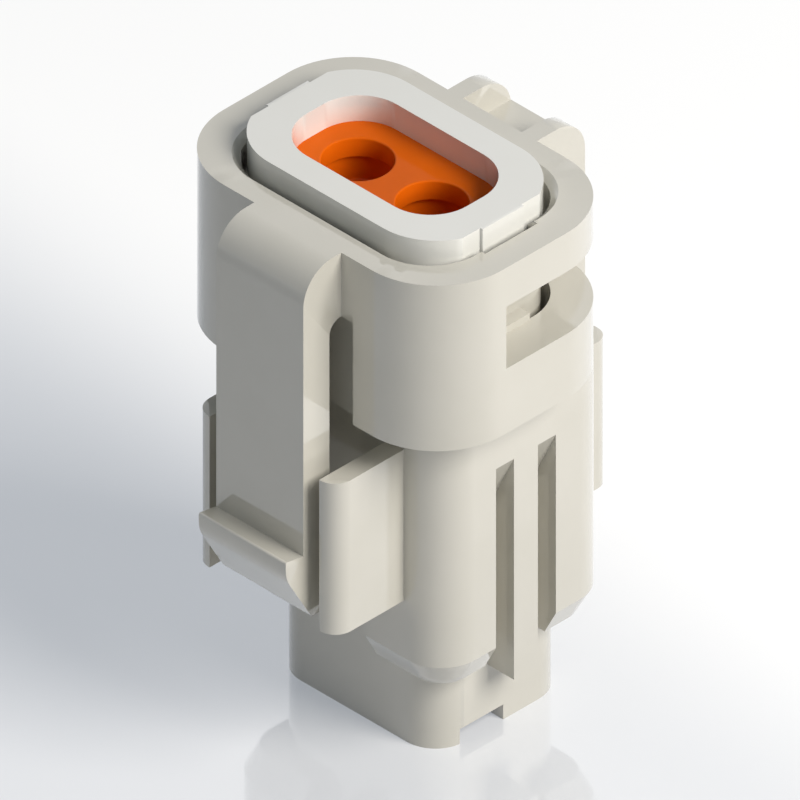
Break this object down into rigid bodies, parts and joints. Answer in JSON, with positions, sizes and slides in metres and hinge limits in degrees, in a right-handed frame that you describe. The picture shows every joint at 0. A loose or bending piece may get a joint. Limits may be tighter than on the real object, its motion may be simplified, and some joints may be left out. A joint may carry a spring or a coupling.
{
  "type": "wire-to-wire connector",
  "caption": "Sealed wire-to-wire connector plug with a latch arm, keyed seal cover, orange wire seal, side windows, guide slots and a hollow mating nose.",
  "frame": {"origin": "midway between the contacts, level with the open end of the mating nose", "axes": "+Z along the contacts from the nose to the wire end, +X from the left contact to the right, -Y towards the latch arm"},
  "size_m": [0.0208, 0.0222, 0.0343],
  "materials": {
    "housing_plastic": "moulded, soft gloss",
    "cover_plastic": "moulded, soft gloss",
    "seal_silicone": "moulded, smooth",
    "contact_brass": "turned",
    "hood_steel": "rolled"
  },
  "bodies": {
    "root": {"housing": "housing_plastic", "seal_cover": "cover_plastic", "wire_seal": "seal_silicone", "terminal_lock": "cover_plastic", "contact_left": "contact_brass", "contact_right": "contact_brass", "hood_left": "hood_steel", "hood_right": "hood_steel"}
  },
  "joints": []
}
